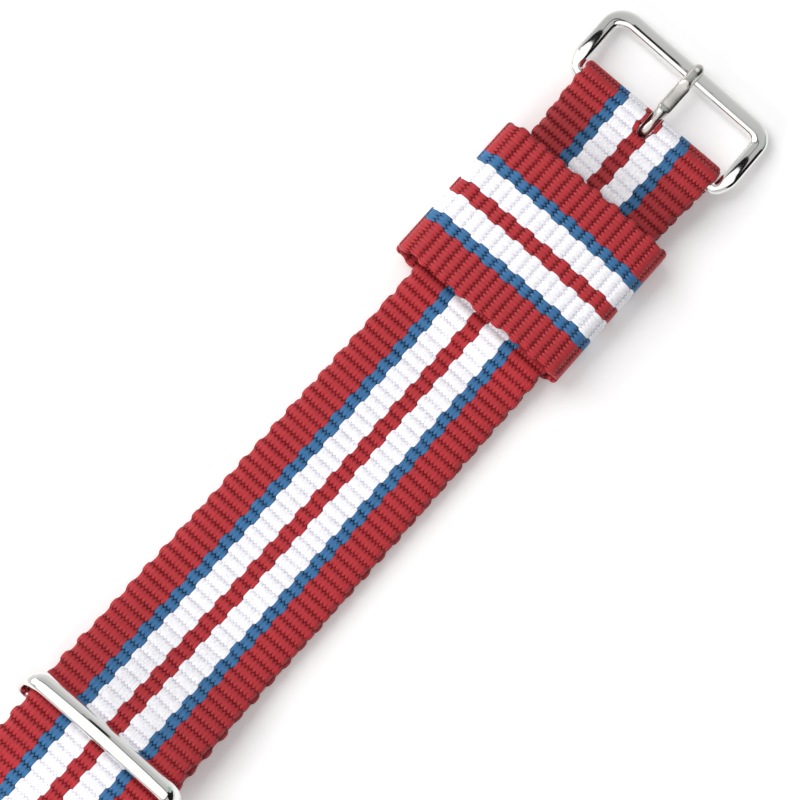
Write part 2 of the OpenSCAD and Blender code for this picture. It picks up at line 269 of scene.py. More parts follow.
# A skin is a grid that is rolled round: place(i, j) gives the points for arrays of steps
def rolledSkin(name, around, along, place, angle=50, painted_shade=None):
    bpy.ops.object.select_all(action="DESELECT")
    bpy.ops.mesh.primitive_grid_add(x_subdivisions=around, y_subdivisions=along, size=1)
    skin = bpy.context.object
    skin.name = name
    mesh = skin.data
    grid = meshPoints(mesh)
    i = np.rint((grid[:, 0] + 0.5) * around).astype(int)
    j = np.rint((grid[:, 1] + 0.5) * along).astype(int)
    points, layout = place(i, j)
    mesh.vertices.foreach_set("co", (points * mm).ravel())
    corner = np.zeros(len(mesh.loops), dtype=int)
    mesh.loops.foreach_get("vertex_index", corner)
    mesh.uv_layers.active.data.foreach_set("uv", layout[corner].ravel())
    mesh.uv_layers.active.name = "weave"
    # a point attribute that carries painted shade, 0 where there is none
    if painted_shade is not None:
        mesh.attributes.new("painted_shade", "FLOAT", "POINT").data.foreach_set("value", painted_shade[j])
    mesh.update()
    finishMesh(closeEnds=True)
    bpy.ops.object.shade_smooth_by_angle(angle=math.radians(angle))
    return skin


# A torus whose rings are laid along a closed path, so the metal has no seam
def closedSweep(name, around, along, place):
    bpy.ops.object.select_all(action="DESELECT")
    bpy.ops.mesh.primitive_torus_add(major_segments=along, minor_segments=around,
                                     major_radius=1, minor_radius=0.25)
    sweep = bpy.context.object
    sweep.name = name
    mesh = sweep.data
    x, y, z = meshPoints(mesh).T
    major = np.arctan2(y, x) / (2 * math.pi)
    minor = np.arctan2(z, np.hypot(x, y) - 1) / (2 * math.pi)
    j = np.rint(major * along).astype(int) % along
    i = np.rint(minor * around).astype(int) % around
    mesh.vertices.foreach_set("co", (place(i, j) * mm).ravel())
    mesh.update()
    finishMesh(closeEnds=False)
    bpy.ops.object.shade_smooth()
    return sweep


def ease(u):  # a smooth step from 0 to 1
    u = np.clip(u, 0, 1)
    return (1 - np.cos(np.pi * u)) / 2


def smoothed(values, width, ends="edge", **options):  # a running mean
    padded = np.pad(values, width // 2, mode=ends, **options)
    return np.convolve(padded, np.ones(width) / width, "valid")


def squared(wave, power):  # makes a circle's sine or cosine squarer, with a power below 1
    return np.sign(wave) * np.abs(wave) ** power


def stepPoints(x0, z0, x1, z1, count=40):
    u = np.arange(1, count + 1) / count
    return [(x0 + (x1 - x0) * a, z0 + (z1 - z0) * ease(a)) for a in u]


def arcPoints(centre, radius, start, stop, count=40):
    angles = np.radians(start + (stop - start) * np.arange(1, count + 1) / count)
    return [(centre[0] + radius * math.cos(a), centre[1] + radius * math.sin(a)) for a in angles]


def measured(points):  # the points without doubles, and how far along each one is
    p = np.array(points, float)
    gaps = np.hypot(p[1:, 0] - p[:-1, 0], p[1:, 1] - p[:-1, 1])
    p = p[np.concatenate([[True], gaps > 1e-6])]
    gaps = np.hypot(p[1:, 0] - p[:-1, 0], p[1:, 1] - p[:-1, 1])
    return p, np.concatenate([[0], np.cumsum(gaps)])


# The webbing's own sizes, in mm
ribPitch = 1.40  # from one rib to the next
yarnPitch = 0.50  # from one warp yarn to the next
webbing = {
    "width": 20.1,
    "thickness": 1.2,
    "ribDepth": 0.12,  # of the grooves between ribs
    "ribFullness": 0.7,  # below 1, the ribs are broader than the grooves
    "edgeRadius": 0.45,
    "edgeGroove": 0.10,  # how much of that the grooves take off the selvedge
    "edgeWrap": 1.6,  # radii of cloth from the edge's flat side to its middle
    "sway": 0.15,  # the warp's shift from one rib to the next
    "swayReach": 1.2,  # how far from the edge that is felt
    "slip": 0.03,  # how unevenly the ribs shift there
    "crown": 0.03,  # how much the ribs differ in height
    "waver": 0.05,  # how far the edges wander
    "waves": (7.3, 3.1),  # and over what lengths
    "pressDepth": 0.16,  # how far a weld squeezes the webbing
    "pressFlat": 0.8,  # and how much of its ribs goes
    "ringsPerRib": 8,
    "columns": (1, 0.95, 0.89, 0.81, 0.71, 0.6, 0.48, 0.37, 0.27, 0.19, 0.145, 0.115, 0.09,
                0.06, 0.025),  # where the outer face is divided, from its edge to its middle
    "underSteps": 12,
    "edgeSteps": 6,
}


def plainHalf(centre, step, total):
    return np.full(len(step), webbing["width"] / 2)


def noChange(centre):
    return np.zeros(len(centre))


def evenRibs(centre):  # ribs without lag or slant
    return noChange(centre), noChange(centre)


# Lays webbing along a path in the plane of two axes, with its width along the third.
# turn is -1 where the face on the right of the path is the outer one.
def layWebbing(name, points, planeAxes, widthAxis, seed, halfWidth=plainHalf, drift=noChange,
               pressed=noChange, turn=1, slide=evenRibs, pushed=None, paintedShade=noChange):
    s = webbing
    path, length = measured(points)
    total = length[-1]
    along = int(round(total / ribPitch * s["ringsPerRib"]))
    step = np.linspace(0, total, along + 1)
    centre = np.stack([np.interp(step, length, path[:, k]) for k in (0, 1)], axis=1)
    heading = np.gradient(centre, step, axis=0)
    heading = np.stack([smoothed(heading[:, k], 5) for k in (0, 1)], axis=1)
    heading /= np.linalg.norm(heading, axis=1)[:, None]
    normal = np.stack([-heading[:, 1], heading[:, 0]], axis=1) * turn

    # the section: core and outY give a point's place across, outW whether it is above or below
    columns = list(s["columns"]) + [-c for c in reversed(s["columns"][1:])]
    upper, under, edge = len(columns), s["underSteps"], s["edgeSteps"]
    quarter = [math.pi * k / edge for k in range(edge)]
    core = [-1 + 2 * k / under for k in range(under)] + [1] * edge
    core += columns + [-1] * edge
    outY = [0] * under + [math.sin(a) for a in quarter]
    outY += [0] * upper + [-math.sin(a) for a in quarter]
    outW = [-1] * under + [-math.cos(a) for a in quarter]
    outW += [1] * upper + [math.cos(a) for a in quarter]
    around = len(core)
    core, outY, outW = [np.array(v + v[:1], float) for v in (core, outY, outW)]

    rng = np.random.default_rng(seed)
    ribs = int(total / ribPitch) + 4
    crown = rng.uniform(0, s["crown"], ribs)
    slip = rng.normal(0, s["slip"], ribs)
    lag, skew = slide(centre)
    phase = (step - lag) / ribPitch
    rib = np.clip(np.rint(phase).astype(int), 0, ribs - 1)
    valley = 1 - np.abs(np.cos(np.pi * phase)) ** s["ribFullness"]
    parity = np.tanh(1.6 * np.cos(np.pi * phase)) / math.tanh(1.6)
    half = halfWidth(centre, step, total)
    side, press = drift(centre), pressed(centre)
    wander = s["waver"] * (np.sin(step / s["waves"][0] + seed)
                           + 0.6 * np.sin(step / s["waves"][1] + 2 * seed))

    def place(i, j):
        radius = np.minimum(s["edgeRadius"], half[j] * 0.9)
        flatHalf = np.maximum(half[j] - s["sway"] - radius, 0.02)
        nearEdge = np.clip(1 - (1 - np.abs(core[i])) * flatHalf / s["swayReach"], 0, 1)
        groove = 1 - s["edgeGroove"] * valley[j]
        shift = nearEdge * (s["sway"] * parity[j] + slip[rib[j]])
        y = core[i] * flatHalf + outY[i] * radius * groove + shift + nearEdge * wander[j]
        v = core[i] * flatHalf + outY[i] * radius * s["edgeWrap"] + shift
        thick = s["thickness"] / 2 - s["ribDepth"] * valley[j] * (1 - s["pressFlat"] * press[j])
        thick = thick - crown[rib[j]] - s["pressDepth"] * press[j] * (np.abs(core[i]) < 0.9)
        if pushed is not None:
            aside, lip = pushed(centre[j, 0], y)
            v = v - aside
            thick = thick + lip * (outW[i] > 0)
        placed = np.zeros((len(i), 3))
        for k, axis in enumerate(planeAxes):
            placed[:, axis] = centre[j, k] + normal[j, k] * outW[i] * thick
            placed[:, axis] += heading[j, k] * skew[j] * y
        placed[:, widthAxis] = y + side[j]
        return placed, np.stack([(step - lag)[j], v], axis=1)

    return rolledSkin(name, around, along, place, painted_shade=paintedShade(centre))


# Layers and places of the strap, in mm: along from the hinge bar, heights above the table
bandT = webbing["thickness"]
layers = {
    "table": bandT / 2,  # middle of a layer that lies on the table
    "low": 1.5 * bandT,  # of a second one on it
    "high": 2.5 * bandT + 0.1,  # of a third, over the weld
    "run": 1.5 * bandT + 0.2,  # of the main band, loose on the under band
    "lap": 1.5 * bandT + 0.1,  # of the end of the ring's fold, on its welds
    "keeperIn": -10.6,  # the keeper's two edges
    "keeperOut": -30.6,
    "settle": 0.6,  # how far beside the keeper the layers stay level
    "drop": 6.0,  # length over which they come together behind it
    "bend": -2.4,  # where the fold starts to open towards the hinge bar
    "climb": 21.0,  # length over which the band climbs to the ring
    "crestFlat": 1.5,  # how far it stays level there
    "fall": 22.0,  # and length over which it falls to the table
    "ringFold": 0.5,  # how far behind the ring's bar the fold round it turns
    "lapStart": 1.15,  # from the ring's bar: where the fold's end starts to fall,
    "lapFlat": 6.65,  # where it lies flat,
    "lapEnd": 11.5,  # and where it ends
    "lapSeams": (7.4, 10.6),  # its two welds
    "seamWidth": 1.6,
    "foldEnd": -18.0,  # end of the main band, under the keeper
    "endGap": 1.5,  # from there to the under band's end
    "foldCorner": 0.25,  # rounding of the fold's corners, seen from above
    "foldSpread": 0.50,  # how far the pressed fold spreads on each side
    "foldAslant": 0.027,  # how far from square it lies, as a slope
    "tailPoint": 9.0,  # length of the tail's rounded point
}
hingeX, hingeZ = hingePlace.x, hingePlace.z
foldR = hingeZ - bandT / 2
ringX = hingeX - ringPlace.x  # from the hinge bar to the ring's lower bar
ringZ = ringPlace.z
ringFoldR = ringZ - layers["table"]
crestZ = ringZ + ringFoldR + bandT + 0.2
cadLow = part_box("main_band")[0]
tailX = cadLow.x / mm - hingeX


def mainPath():
    p = layers
    near, far = p["keeperIn"] + p["settle"], p["keeperOut"] - p["settle"]
    climbX, crestX = p["climb"] - ringX, -ringX - p["crestFlat"]
    foldTop = hingeZ + foldR
    points = [
        (p["foldEnd"], p["low"]), (near, p["low"]),
        *stepPoints(near, p["low"], p["bend"], p["table"]), (0, p["table"]),
        *arcPoints((0, hingeZ), foldR, -90, 90), (p["bend"], foldTop),
        *stepPoints(p["bend"], foldTop, near, p["high"]), (far, p["high"]),
        *stepPoints(far, p["high"], far - p["drop"], p["run"]), (climbX, p["run"]),
        *stepPoints(climbX, p["run"], -ringX, crestZ, 80), (crestX, crestZ),
        *stepPoints(crestX, crestZ, crestX - p["fall"], p["table"], 80), (tailX, p["table"])]
    return [(x + hingeX, z) for x, z in points]


def underPath():
    p = layers
    far = p["keeperOut"] - p["settle"]
    foldX, foldTop = -ringX - p["ringFold"], ringZ + ringFoldR
    start, flat, end = [p[name] - ringX for name in ("lapStart", "lapFlat", "lapEnd")]
    points = [
        (p["foldEnd"] - p["endGap"], p["low"]), (far, p["low"]),
        *stepPoints(far, p["low"], far - p["drop"], p["table"]), (foldX, p["table"]),
        *arcPoints((foldX, ringZ), ringFoldR, -90, -270), (start, foldTop),
        *stepPoints(start, foldTop, flat, p["lap"]), (end, p["lap"])]
    return [(x + hingeX, z) for x, z in points]


def mainHalf(centre, step, total):
    half = plainHalf(centre, step, total)
    toTip = np.clip(1 - (total - step) / layers["tailPoint"], 0, 1)
    half = half * np.sqrt(np.clip(1 - toTip ** 2, 0.002, 1))
    half = half + layers["foldSpread"] * ease((centre[:, 0] - hingeX + 9) / 9)
    corner = layers["foldCorner"]
    intoFold = np.clip((centre[:, 0] - hingeX - foldR + corner) / corner, 0, 1)
    return half - corner * (1 - np.sqrt(1 - intoFold ** 2))


def mainDrift(centre):  # the band doesn't lie quite straight: places, and shifts there
    x = centre[:, 0] - hingeX
    return np.interp(x, (tailX, -130, -99, -90, -80, -74, -68, -51, -40, -32, -10, -4, 0, 3),
                     (0, -0.05, -0.16, -0.14, -0.24, -0.33, -0.38, -0.42, -0.40, -0.33,
                      0.08, 0.13, 0.13, 0.14))


def mainSlide(centre):  # pulled a little, its ribs lie unevenly and a touch aslant
    x = centre[:, 0] - hingeX
    lag = np.interp(x, (-99, -93, -87, -81, -75, -57, -45, -39, -10, -4),
                    (-0.50, -0.30, -0.08, 0.13, 0.20, 0.20, 0.33, 0.44, 0.55, 0.48))
    return -lag, np.interp(x, (-60, -45, -35), (-0.0185, -0.010, -0.007))


def underDrift(centre):
    x = centre[:, 0] - hingeX
    return np.interp(x, (-ringX, -ringX + 15, -40, -20), (-0.55, -0.5, -0.5, -0.2))


def welds(x, middles, width):  # 1 inside a weld seam, falling to 0 beside it
    return np.max([np.clip(1.6 - 2 * np.abs(x - m) / width, 0, 1) for m in middles], axis=0)


def underPress(centre):
    x, z = centre[:, 0] - hingeX + ringX, centre[:, 1]
    return welds(x, layers["lapSeams"], layers["seamWidth"]) * (z < layers["lap"] + 0.1)


# The slot for the prong and the tail's holes are cut hot, so their rims are fused
cuts = {
    "slotHalf": 0.81,
    "slotBack": -1.6,
    "slotPoint": 0.5,  # length over which the slot's rear end narrows
    "slotSlant": 0.20,  # how far its rear end moves forward per mm deeper
    "slotTaper": 0.012,  # and how much narrower it gets on each side
    "slotPush": 0.55,  # how far the slot pushes the yarns beside it apart
    "slotReach": 3.4,  # and how far from the middle that is felt
    "slotLip": (0.3, 0.4, 0.14),  # the lips it raises: place beside its edge, width and height
    "holeRadius": 1.05,
    "holeFirst": 30.0,
    "holePitch": 7.0,
    "holes": 9,
    "foot": -2.0,  # heights of the cutting tools' ends
    "top": 9.0,
}


def besideSlot(x, y):  # how far yarns are pushed sideways by the slot, and its lips
    c = cuts
    aside, width, height = c["slotLip"]
    near = ease((x - hingeX - c["slotBack"] + 0.5) / 1.8)
    faded = np.clip((c["slotReach"] - np.abs(y)) / (c["slotReach"] - c["slotHalf"]), 0, 1)
    lip = np.exp(-((np.abs(y) - c["slotHalf"] - aside) / width) ** 2)
    return near * c["slotPush"] * faded * np.clip(y / 0.4, -1, 1), near * height * lip


def mainPaintedShade(centre):  # painted shade: the top run is darkened between the keeper and the fold, and a little over the fold
    x, z = centre[:, 0] - hingeX, centre[:, 1]
    onTop = z > layers["low"] + 0.3
    return onTop * np.interp(x, (-13, -10.5, -4.0, -2.6, -1, 2), (0, 1, 1, 0.25, 0.1, 0.4))


mainBand = layWebbing("main_band_webbing", mainPath(), (0, 2), 1, 3,
                      halfWidth=mainHalf, drift=mainDrift, slide=mainSlide, pushed=besideSlot,
                      paintedShade=mainPaintedShade)
for vertex in mainBand.data.vertices:
    x, y, z = vertex.co
    intoFold = float(ease((x / mm - hingeX + 6) / 6))
    vertex.co.x = x - layers["foldAslant"] * y * intoFold
underBand = layWebbing("under_band_webbing", underPath(), (0, 2), 1, 5,
                       drift=underDrift, pressed=underPress, turn=-1)

keeper = {
    "half": 11.85,  # from its middle to the middle of its side
    "radius": 1.9,  # of its corners' middle line
    "top": 6.1,
    "crown": 0.5,  # how much its top bulges
    "slit": 0.3,  # between its two ends, underneath
    "aside": 0.4,  # how far it has slipped to one side of the strap
    "halfWidth": 10.42,  # half the width of its webbing
    "back": 0.2,  # how far it sits nearer the tail than its place
    "askew": 0.02,  # and how much it is turned
    "seams": (6.0, 3.0),  # the welds on each side of the slit, from the middle
    "seamWidth": 1.4,
}


def keeperPath():
    k = keeper
    radius, low = k["radius"], layers["table"]
    side = k["half"] - radius
    crownR = (side ** 2 + k["crown"] ** 2) / (2 * k["crown"])
    lean = math.degrees(math.asin(side / crownR))
    high = k["top"] - k["crown"] - radius * math.cos(math.radians(lean))
    points = [
        (k["slit"] / 2, low), (side, low),
        *arcPoints((side, low + radius), radius, -90, 0, 20),
        *arcPoints((side, high), radius, 0, 90 - lean, 20),
        *arcPoints((0, k["top"] - crownR), crownR, 90 - lean, 90 + lean, 60),
        *arcPoints((-side, high), radius, 90 + lean, 180, 20),
        *arcPoints((-side, low + radius), radius, 180, 270, 20), (-k["slit"] / 2, low)]
    return [(y + k["aside"], z) for y, z in points]


def keeperPress(centre):
    y, z = np.abs(centre[:, 0] - keeper["aside"]), centre[:, 1]
    return welds(y, keeper["seams"], keeper["seamWidth"]) * (z < layers["low"])


keeperMiddle = hingeX + (layers["keeperIn"] + layers["keeperOut"]) / 2
keeperLoop = layWebbing(
    "keeper_webbing", keeperPath(), (1, 2), 0, 8, pressed=keeperPress, turn=-1,
    halfWidth=lambda centre, step, total: np.full(len(step), keeper["halfWidth"]),
    drift=lambda centre: keeperMiddle - keeper["back"] - keeper["askew"] * centre[:, 0])
print("webbing laid")


def cutter(name, radius, outline):  # an upright cylinder, reshaped by outline at each height
    bpy.ops.object.select_all(action="DESELECT")
    bpy.ops.mesh.primitive_cylinder_add(vertices=48, radius=1, depth=1, end_fill_type="NGON")
    tool = bpy.context.object
    tool.name = name
    for vertex in tool.data.vertices:
        z = cuts["top"] if vertex.co.z > 0 else cuts["foot"]
        x, y = outline(vertex.co.x * radius, vertex.co.y * radius, z)
        vertex.co = (x * mm, y * mm, z * mm)
    return tool


def slotOutline(x, y, z):
    c = cuts
    below = hingeZ + foldR - z  # how deep under the fold's middle line
    back, front = c["slotBack"] + c["slotSlant"] * below, foldR + bandT
    along = back + (x + 1) / 2 * (front - back)
    widening = min(1.0, (along - back) / c["slotPoint"])
    half = c["slotHalf"] - c["slotTaper"] * below
    reach = math.copysign(half, y) if abs(y) > 1e-6 else 0.0
    return hingeX + along, reach * max(0.0, widening) ** 0.5


tools = [cutter("slot_cutter", 1.0, slotOutline)]
for k in range(cuts["holes"]):
    holeX = hingeX + tailX + cuts["holeFirst"] + k * cuts["holePitch"]
    tools.append(cutter("hole_cutter", cuts["holeRadius"], lambda x, y, z: (holeX + x, y)))


# Ribbed nylon webbing: each rib shows every second warp yarn, the next rib the ones between,
# so the stripes step sideways by half a yarn and the floats lock like teeth. Soft nylon sheen.
# Shade is painted into the gaps at the floats' tips, the grooves between ribs and the band bent up
# to the fold.
stripes = (  # from the middle, in yarns: colour, painted shade colour for the gaps between floats, and how much relief and painted shade show
    (0, "#b02c33", "#6c0a11", 1.0),  # red
    (2, "#faf9fe", "#d4d0e0", 0.2),  # white, which scatters light inside and hides its relief and painted shade
    (8, "#376c9c", "#020f2b", 1.0),  # blue
    (11, "#b02c33", "#6c0a11", 1.0),  # red
)
rampYarns = 24  # the yarns from the middle that the colour ramp spans
weave = {
    "tipReach": 0.510,  # how far a float runs from its rib's middle, in rib pitches
    "tipTaper": 0.22,  # how much less it reaches at the yarn's sides
    "uneven": 0.05,  # how much floats differ in reach
    "tipShadeEdge": (-0.03, 0.04),  # room at which the painted shade in the gap at a float's tip starts and ends
    "relief": 0.13 * mm,  # height of a float above the gap at its tip
    "tipRise": 0.24,  # over what length from its tip it rises, in rib pitches
    "yarnRound": 0.03,  # how much of its height a yarn falls to its sides
    "tipRound": 0.30,  # and how much more it does so at its tip
    "filaments": (2.4, 5.5, 1.0),  # per mm, drawn far coarser than real ones, so that they show
    "filamentTone": (0.70, 0.58),  # how strong they are, and the tone without them
    "wearTone": 0.10,  # how strong broad patches of wear are
    "yarnTone": 0.08,  # and how much yarns differ
    "paintedShadeLoss": 0.24,  # painted shade: tone taken off the band between the keeper and the fold
    "grooveShadeLoss": 0.16,  # painted shade: tone taken off the dips between ribs
}


def ribbedNylon():
    material, tree = newMaterial("woven striped nylon webbing")
    w = weave
    layout = addNode(tree, "ShaderNodeUVMap", uv_map="weave")
    split = addNode(tree, "ShaderNodeSeparateXYZ", (layout,))
    u, v = split.outputs[0], split.outputs[1]
    rooms, facts = [], []
    for ribStart, yarnStart in ((0.0, -0.25), (1.0, 0.25)):  # the two sets of warp yarns
        rib = addNode(tree, "ShaderNodeMath", (u, 1 / ribPitch, ribStart), "MULTIPLY_ADD")
        away = addNode(tree, "ShaderNodeMath", (rib, 1.0), "PINGPONG")
        pair = addNode(tree, "ShaderNodeMath", (rib, 2.0), "SNAP")
        slot = addNode(tree, "ShaderNodeMath", (v, 1 / yarnPitch, yarnStart), "MULTIPLY_ADD")
        yarn = addNode(tree, "ShaderNodeMath", (slot,), "FLOOR")
        part = addNode(tree, "ShaderNodeMath", (slot,), "FRACT")
        off = addNode(tree, "ShaderNodeMath", (part, 2.0, -1.0), "MULTIPLY_ADD")
        square = addNode(tree, "ShaderNodeMath", (off, off), "MULTIPLY")
        cube = addNode(tree, "ShaderNodeMath", (square, 1.5), "POWER")
        which = addNode(tree, "ShaderNodeCombineXYZ", (pair, yarn, ribStart))
        chance = addNode(tree, "ShaderNodeTexWhiteNoise", {"Vector": which})
        full = addNode(tree, "ShaderNodeMapRange", {
            "Value": chance, "To Min": w["tipReach"] - w["uneven"] / 2,
            "To Max": w["tipReach"] + w["uneven"] / 2})
        reach = addNode(tree, "ShaderNodeMath", (cube, -w["tipTaper"], full), "MULTIPLY_ADD")
        rooms.append(addNode(tree, "ShaderNodeMath", (reach, away), "SUBTRACT"))
        facts.append(addNode(tree, "ShaderNodeCombineXYZ", (yarn, square, chance)))
    first = addNode(tree, "ShaderNodeMath", rooms, "GREATER_THAN")
    room = addNode(tree, "ShaderNodeMath", rooms, "MAXIMUM")
    shown = addNode(tree, "ShaderNodeMix", {0: first, 4: facts[1], 5: facts[0]}, data_type="VECTOR")
    fact = addNode(tree, "ShaderNodeSeparateXYZ", (shown.outputs[1],))
    yarn, square, chance = fact.outputs[0], fact.outputs[1], fact.outputs[2]

    # painted shade in the gaps at the floats' tips, and in thin lines between yarns
    tipShade = addNode(tree, "ShaderNodeMapRange", {
        "Value": room, "From Min": w["tipShadeEdge"][0], "From Max": w["tipShadeEdge"][1], "To Min": 1.0,
        "To Max": 0.0})
    yarnLineShade = addNode(tree, "ShaderNodeMapRange", {"Value": square, "From Min": 0.5, "To Max": 0.05})
    dark = addNode(tree, "ShaderNodeMath", (tipShade, yarnLineShade), "MAXIMUM")
    middle = addNode(tree, "ShaderNodeMath", (yarn, 0.5), "ADD")
    place = addNode(tree, "ShaderNodeMath", (middle,), "ABSOLUTE")
    share = addNode(tree, "ShaderNodeMath", (place, 1 / rampYarns), "MULTIPLY")
    inksAndShades = []
    for column in (1, 2):
        ramp = addNode(tree, "ShaderNodeValToRGB", (share,))
        ramp.color_ramp.interpolation = "CONSTANT"
        for row in stripes[2:]:
            ramp.color_ramp.elements.new(row[0] / rampYarns)
        for spot, row in zip(ramp.color_ramp.elements, stripes):
            spot.position = row[0] / rampYarns
            spot.color = (*hexColour(row[column])[:3], row[3])
        inksAndShades.append(ramp)
    relief = inksAndShades[0].outputs["Alpha"]
    # the yarn's colour, turned to its painted shade colour in the gaps and between yarns
    shadedInk = addNode(tree, "ShaderNodeMix", {0: dark, 6: inksAndShades[0], 7: inksAndShades[1]}, data_type="RGBA")

    stretched = addNode(tree, "ShaderNodeMapping", {"Vector": layout, "Scale": w["filaments"]})
    filament = addNode(tree, "ShaderNodeTexNoise",
                       {"Vector": stretched, "Scale": 1.0, "Detail": 2.0})
    wear = addNode(tree, "ShaderNodeTexNoise", {"Vector": layout, "Scale": 0.45, "Detail": 1.0})
    tone = addNode(tree, "ShaderNodeMath", (filament, w["filamentTone"][0], w["filamentTone"][1]),
                   "MULTIPLY_ADD")
    for spread, strength in ((wear, w["wearTone"]), (chance, w["yarnTone"])):
        tone = addNode(tree, "ShaderNodeMath", (spread, strength, tone), "MULTIPLY_ADD")
    # painted shade: the band between the keeper and the fold is darkened by its attribute
    painted_shade = addNode(tree, "ShaderNodeAttribute", attribute_name="painted_shade")
    # painted shade in the grooves between ribs, strongest at the rib boundaries
    turn = addNode(tree, "ShaderNodeMath", (u, 1 / ribPitch, 0.5), "MULTIPLY_ADD")
    inside = addNode(tree, "ShaderNodeMath", (turn, 0.5), "PINGPONG")
    valley = addNode(tree, "ShaderNodeMapRange",
                     {"Value": inside, "From Max": 0.22, "To Min": w["grooveShadeLoss"], "To Max": 0.0})
    loss = addNode(tree, "ShaderNodeMath", (painted_shade.outputs["Fac"], w["paintedShadeLoss"], valley),
                   "MULTIPLY_ADD")
    # white yarns take less of this painted shade
    taken = addNode(tree, "ShaderNodeMath", (relief, 0.5), "POWER")
    lost = addNode(tree, "ShaderNodeMath", (taken, loss), "MULTIPLY")
    kept = addNode(tree, "ShaderNodeMath", (1.0, lost), "SUBTRACT")
    tone = addNode(tree, "ShaderNodeMath", (tone, kept), "MULTIPLY")
    colour = addNode(tree, "ShaderNodeVectorMath", (shadedInk.outputs[2], tone), "MULTIPLY")

    rise = addNode(tree, "ShaderNodeMapRange", {"Value": room, "From Max": w["tipRise"]})
    bulge = addNode(tree, "ShaderNodeMath", (rise, 0.6), "POWER")
    rounded = addNode(tree, "ShaderNodeMapRange", {
        "Value": rise, "From Max": 0.6, "To Min": -w["yarnRound"] - w["tipRound"],
        "To Max": -w["yarnRound"]})
    bulge = addNode(tree, "ShaderNodeMath", (square, rounded, bulge), "MULTIPLY_ADD")
    bulge = addNode(tree, "ShaderNodeMath", (filament, 0.10, bulge), "MULTIPLY_ADD")
    bump = addNode(tree, "ShaderNodeBump",
                   {"Height": bulge, "Distance": w["relief"], "Strength": relief})
    gloss = addNode(tree, "ShaderNodeMapRange", {"Value": dark, "To Min": 0.25, "To Max": 0.05})
    shader = addNode(tree, "ShaderNodeBsdfPrincipled", {
        "Base Color": colour, "Roughness": 0.5, "IOR": 1.53, "Specular IOR Level": gloss,
        "Sheen Weight": 0.04, "Sheen Roughness": 0.4, "Normal": bump})
    addNode(tree, "ShaderNodeOutputMaterial", {"Surface": shader})
    return material


# Nylon melted by the hot knife: darker than the yarns, and smooth
def fusedNylon():
    material, tree = newMaterial("fused nylon edge")
    place = addNode(tree, "ShaderNodeTexCoord")
    noise = addNode(tree, "ShaderNodeTexNoise",
                    {"Vector": place.outputs["Object"], "Scale": 1 / (0.6 * mm), "Detail": 2.0})
    colour = addNode(tree, "ShaderNodeMix",
                     {0: noise, 6: hexColour("#7d1a20"), 7: hexColour("#b0383c")}, data_type="RGBA")
    bump = addNode(tree, "ShaderNodeBump", {"Height": noise, "Distance": 0.1 * mm, "Strength": 0.5})
    shader = addNode(tree, "ShaderNodeBsdfPrincipled", {
        "Base Color": colour.outputs[2], "Roughness": 0.6, "IOR": 1.53, "Specular IOR Level": 0.25,
        "Normal": bump})
    addNode(tree, "ShaderNodeOutputMaterial", {"Surface": shader})
    return material


nylon = ribbedNylon()
fused = fusedNylon()
for piece in (mainBand, underBand, keeperLoop):
    piece.data.materials.append(nylon)
    piece.data.materials.append(fused)
    for face in piece.data.polygons:
        if len(face.vertices) > 4:  # the two cut ends
            face.material_index = 1
for tool in tools:
    tool.data.materials.append(fused)
    cut = mainBand.modifiers.new("cut", "BOOLEAN")
    cut.object = tool
    cut.solver = "EXACT"
    cut.operation = "DIFFERENCE"
    cut.material_mode = "TRANSFER"
    bpy.context.view_layer.objects.active = mainBand
    bpy.ops.object.modifier_apply(modifier=cut.name)
    bpy.data.objects.remove(tool)
bpy.ops.object.select_all(action="DESELECT")
mainBand.select_set(True)
bpy.ops.object.shade_smooth_by_angle(angle=math.radians(50))
for piece, node in ((mainBand, "main_band"), (underBand, "under_band"),
                    (keeperLoop, "keeper_loop")):
    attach(piece, "strap")
    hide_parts(node)
print("webbing cut and coloured")

# The buckle frame: one wire with a round hinge bar, drawn flatter along the arms and outer bar
wire = {
    "width": 2.1,
    "height": 1.7,
    "hingeRadius": 0.75,
    "barX": 9.72,  # from the hinge bar to the middle of the outer bar
    "armY": 11.72,  # to the middle of an arm
    "outerRadius": (2.5, 1.95),  # of the outer corners' middle line, at +Y and at -Y
    "hingeEnd": 10.7,  # where the bends beside the hinge bar start
    "innerRun": 2.6,  # and how far along the arms they reach
    "growFrom": 25.0,  # angle in them at which the wire starts to flatten
    "barZ": 0.94,  # height of the outer bar
    "slopeIn": -0.10,  # slopes of the arms at the hinge bar and at the outer bar
    "slopeOut": -0.26,
    "armSquareness": 0.80,  # 1 is an ellipse, less is nearer a rectangle
    "barBlend": (6.0, 9.0),  # where along the arms the outer bar's own section comes in
    "barSquareness": (0.48, 0.70),  # on the bar's inner side, and on its outer side
    "barTilt": 3.0,  # the outer bar's top leans outward by this more
    "barInward": 0.50,  # how much wider it is on its inner side
    "undercut": 0.30,  # how far its inner side falls back beneath its edge
    "turned": 0.010,  # how far the buckle lies from square, as a slope
    "aside": 0.10,  # and how far it has slid along its hinge bar
    "rings": 560,
    "sides": 40,
}


